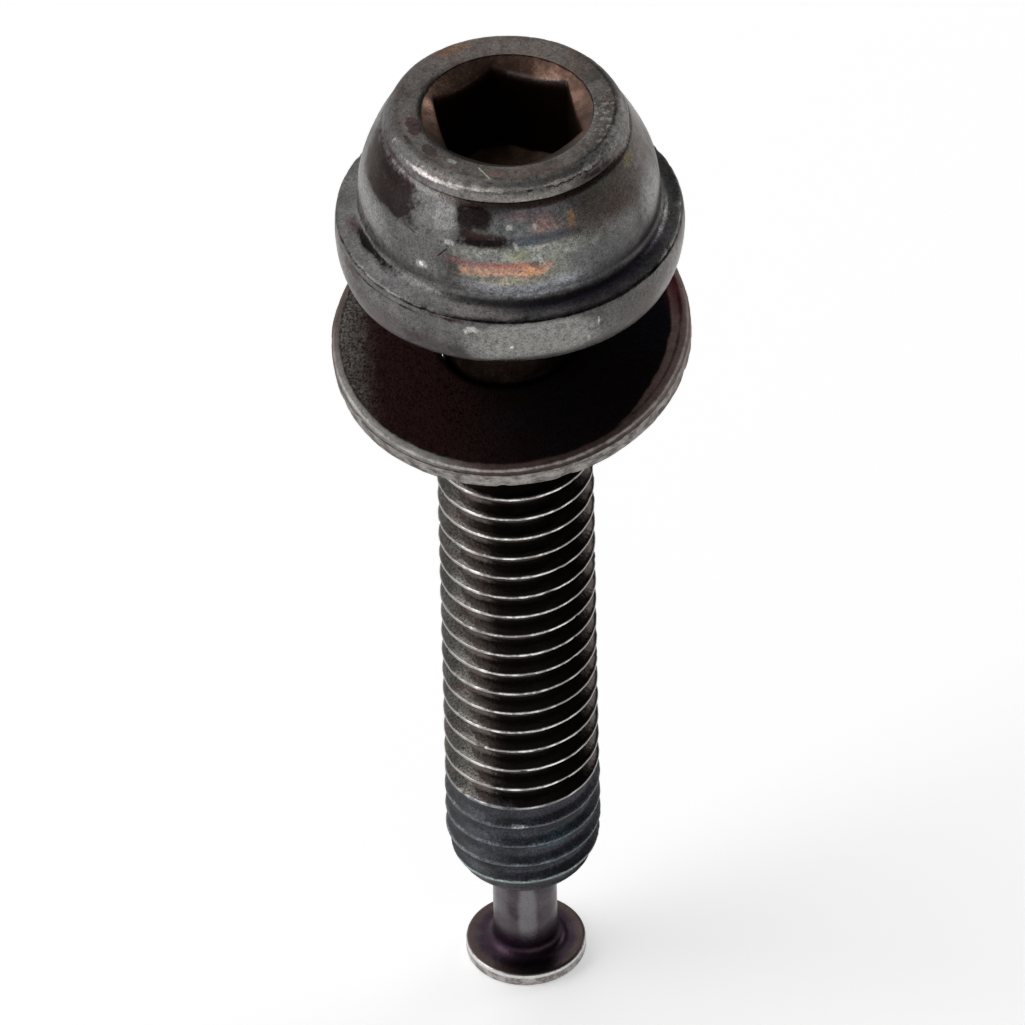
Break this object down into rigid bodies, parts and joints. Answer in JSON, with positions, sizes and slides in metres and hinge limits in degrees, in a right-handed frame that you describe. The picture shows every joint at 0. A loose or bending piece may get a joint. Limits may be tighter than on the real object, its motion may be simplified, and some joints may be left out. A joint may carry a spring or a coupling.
{
  "type": "brake mounting bolt",
  "caption": "Flanged hex-socket bolt with a long rolled thread, a bullet end, a necked clip disc at its tip and a loose captive washer.",
  "frame": {"origin": "centre of the end face of the tip disc, on the bolt's axis", "axes": "+Z along the bolt's axis from the tip to the head"},
  "size_m": [0.0136, 0.0135, 0.0431],
  "materials": {
    "dark_steel": "black oxide, oily and worn, with bare crests on the thread and a dry blue-grey thread-locking coat on its last turns",
    "washer_steel": "black oxide, brownish, worn bright along its edge"
  },
  "bodies": {
    "bolt": {"bolt": "dark_steel"},
    "washer": {"washer": "washer_steel"}
  },
  "joints": [
    {"name": "washer_slide", "type": "slide", "parent": "bolt", "child": "washer", "axis": [0, 0, 1], "range_m": [0, 0.002]}
  ]
}
